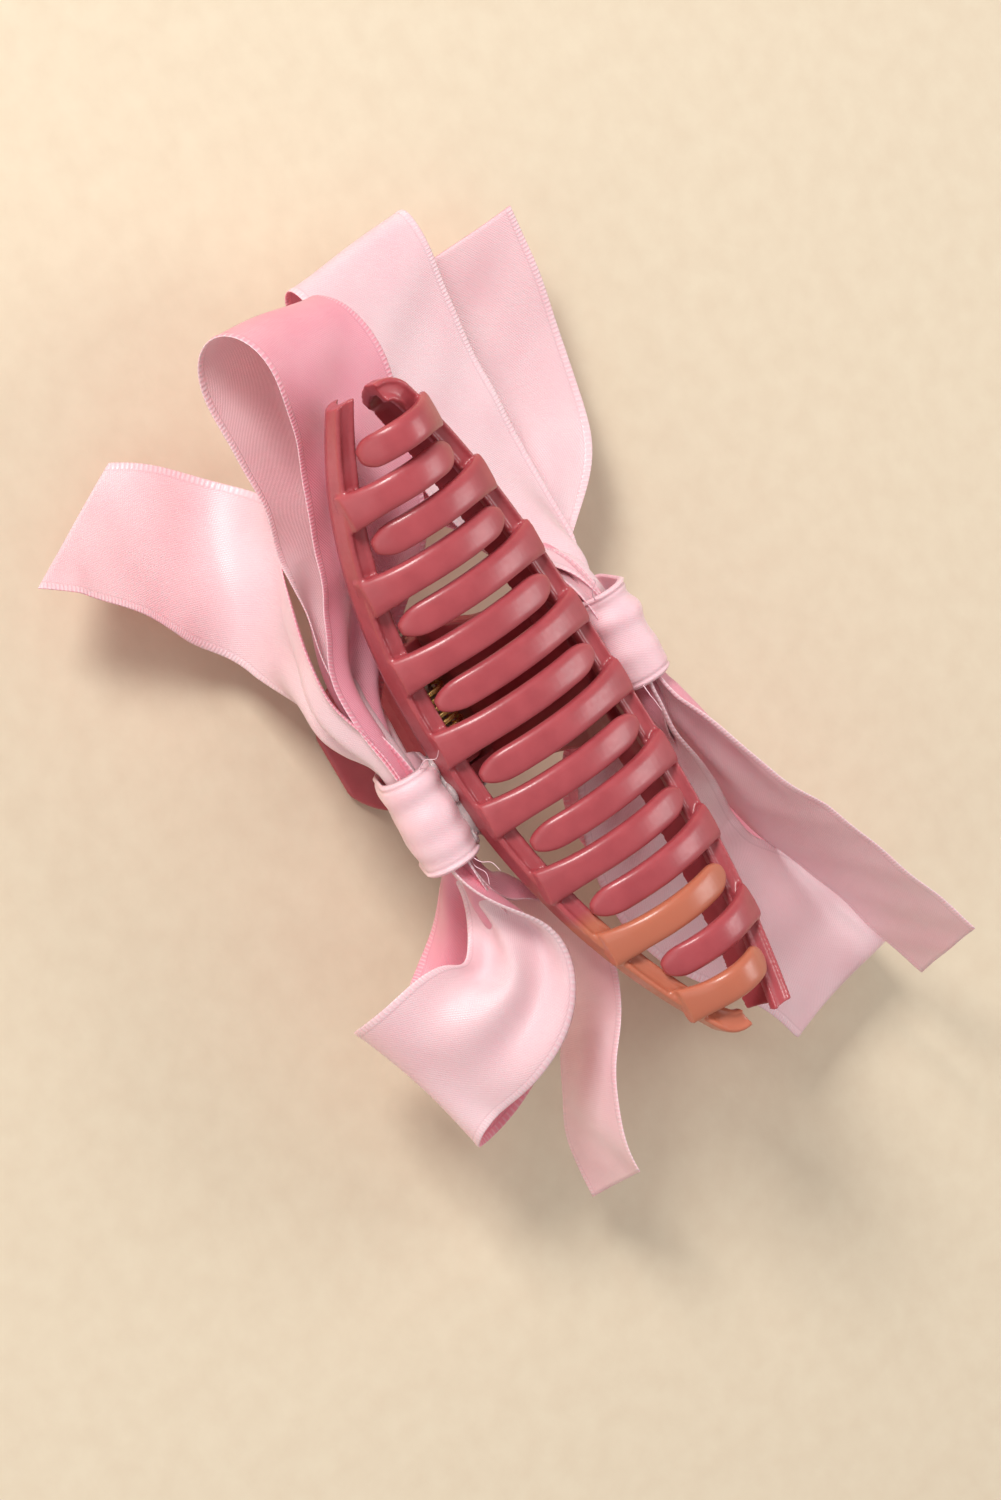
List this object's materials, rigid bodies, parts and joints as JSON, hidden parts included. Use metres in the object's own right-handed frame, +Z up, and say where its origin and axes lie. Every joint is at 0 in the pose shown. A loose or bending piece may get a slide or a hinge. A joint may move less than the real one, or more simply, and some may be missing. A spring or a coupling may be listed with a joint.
{
  "type": "hair claw clip",
  "caption": "Spring-hinged hair claw clip with interleaved curved teeth, finger levers and a satin ribbon bow on each jaw.",
  "frame": {"origin": "centre of the bounding box at the level of the lever tips that the clip stands on", "axes": "+X along the jaws towards the right jaw's wide end, +Y towards the right jaw, +Z up through the teeth"},
  "size_m": [0.1558, 0.0964, 0.0597],
  "materials": {
    "rose_plastic": "glossy dusty-rose injection moulding",
    "steel_wire": "drawn steel pin",
    "gold_wire": "gold-plated spring wire",
    "satin_ribbon": "pale pink polyester satin, woven selvedges",
    "sewing_thread": "pale polyester thread",
    "hot_glue": "clear hot-melt glue"
  },
  "bodies": {
    "left_half": {"left_jaw": "rose_plastic", "hinge_pin": "steel_wire", "torsion_spring": "gold_wire", "left_upper_loop": "satin_ribbon", "left_lower_loop": "satin_ribbon", "left_upper_tail": "satin_ribbon", "left_lower_tail": "satin_ribbon", "left_knot_band": "satin_ribbon", "left_gathering_thread": "sewing_thread", "left_glue": "hot_glue"},
    "right_half": {"right_jaw": "rose_plastic", "right_upper_loop": "satin_ribbon", "right_lower_loop": "satin_ribbon", "right_upper_tail": "satin_ribbon", "right_lower_tail": "satin_ribbon", "right_knot_band": "satin_ribbon", "right_gathering_thread": "sewing_thread", "right_glue": "hot_glue"}
  },
  "joints": [
    {"name": "jaw_hinge", "type": "hinge", "parent": "left_half", "child": "right_half", "pos_m": [-0.00283, -0.00316, 0.01143], "axis": [-1, 0, 0], "range_deg": [0, 60], "stiffness_Nm_per_rad": 0.12, "springref_deg": -34.38, "deforming": ["torsion_spring"]}
  ]
}
